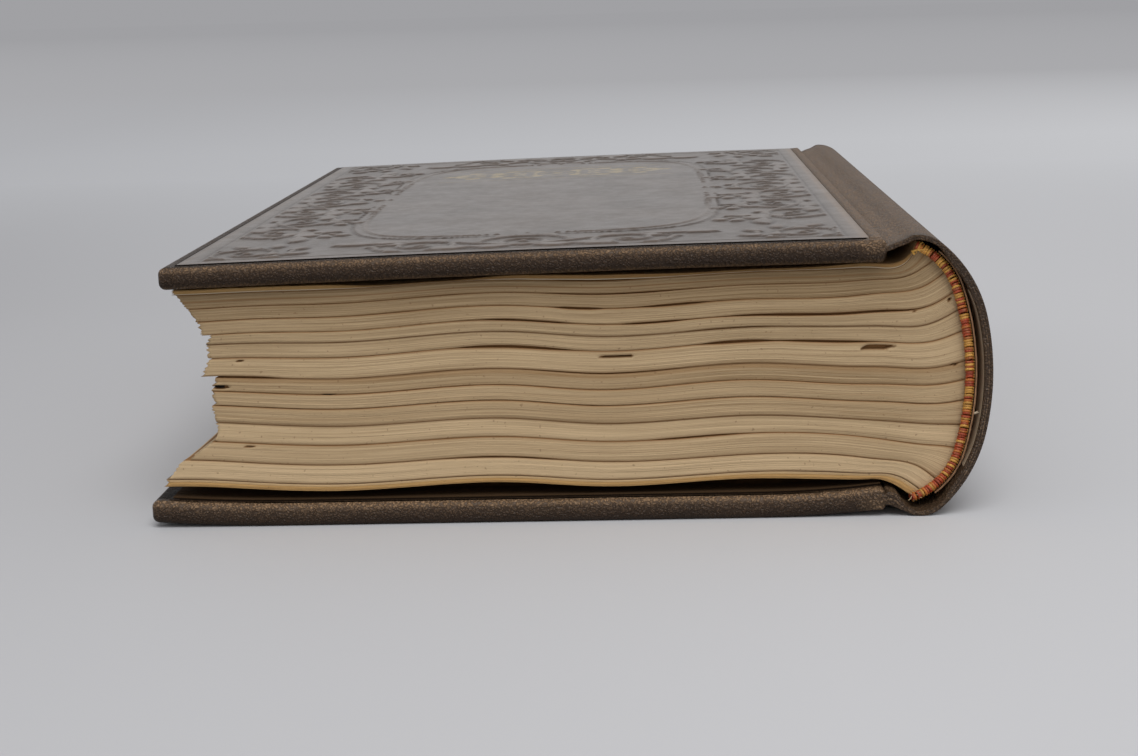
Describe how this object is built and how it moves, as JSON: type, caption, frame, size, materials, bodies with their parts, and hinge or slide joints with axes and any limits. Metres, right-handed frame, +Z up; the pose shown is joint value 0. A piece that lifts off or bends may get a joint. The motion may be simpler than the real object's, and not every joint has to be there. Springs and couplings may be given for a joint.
{
  "type": "leather-bound book",
  "caption": "Thick antique leather-bound book lying closed on its back cover, with rounded spine, silk headbands and two hinged covers.",
  "frame": {"origin": "centre of the bounding box in X and Y, on the table under the back cover in Z", "axes": "+X towards the spine, -X towards the fore-edge, -Y towards the head of the book, +Y towards the tail, +Z up from the back cover to the front cover"},
  "size_m": [0.1794, 0.234, 0.06],
  "materials": {
    "leather": "dark brown pebbled cover leather, worn tan at edges and joints",
    "board": "grey-brown pulp board",
    "paper": "yellowed rag paper, cut edges browned by age",
    "endpaper": "orange-tan endpaper",
    "tape": "unbleached linen tape",
    "mull": "open glued cotton mull",
    "lining": "pinkish-brown lining paper",
    "silk": "red and yellow silk wound over a cord"
  },
  "bodies": {
    "book_block": {"text_block": "paper", "front_flyleaf": "endpaper", "back_flyleaf": "endpaper", "sewing_tape_1": "tape", "sewing_tape_2": "tape", "sewing_tape_3": "tape", "sewing_tape_4": "tape", "mull": "mull", "spine_lining": "lining", "headband": "silk", "tailband": "silk", "spine_card": "board", "spine_leather": "leather"},
    "front_cover": {"front_board": "board", "front_leather": "leather", "front_pastedown": "endpaper"},
    "back_cover": {"back_board": "board", "back_leather": "leather", "back_pastedown": "endpaper"}
  },
  "joints": [
    {"name": "front_cover_hinge", "type": "hinge", "parent": "book_block", "child": "front_cover", "pos_m": [0.06789, 0, 0.05925], "axis": [0, 1, 0], "range_deg": [0, 160]},
    {"name": "back_cover_hinge", "type": "hinge", "parent": "book_block", "child": "back_cover", "pos_m": [0.06827, 0, 0.0015], "axis": [0, -1, 0], "range_deg": [0, 160]}
  ]
}
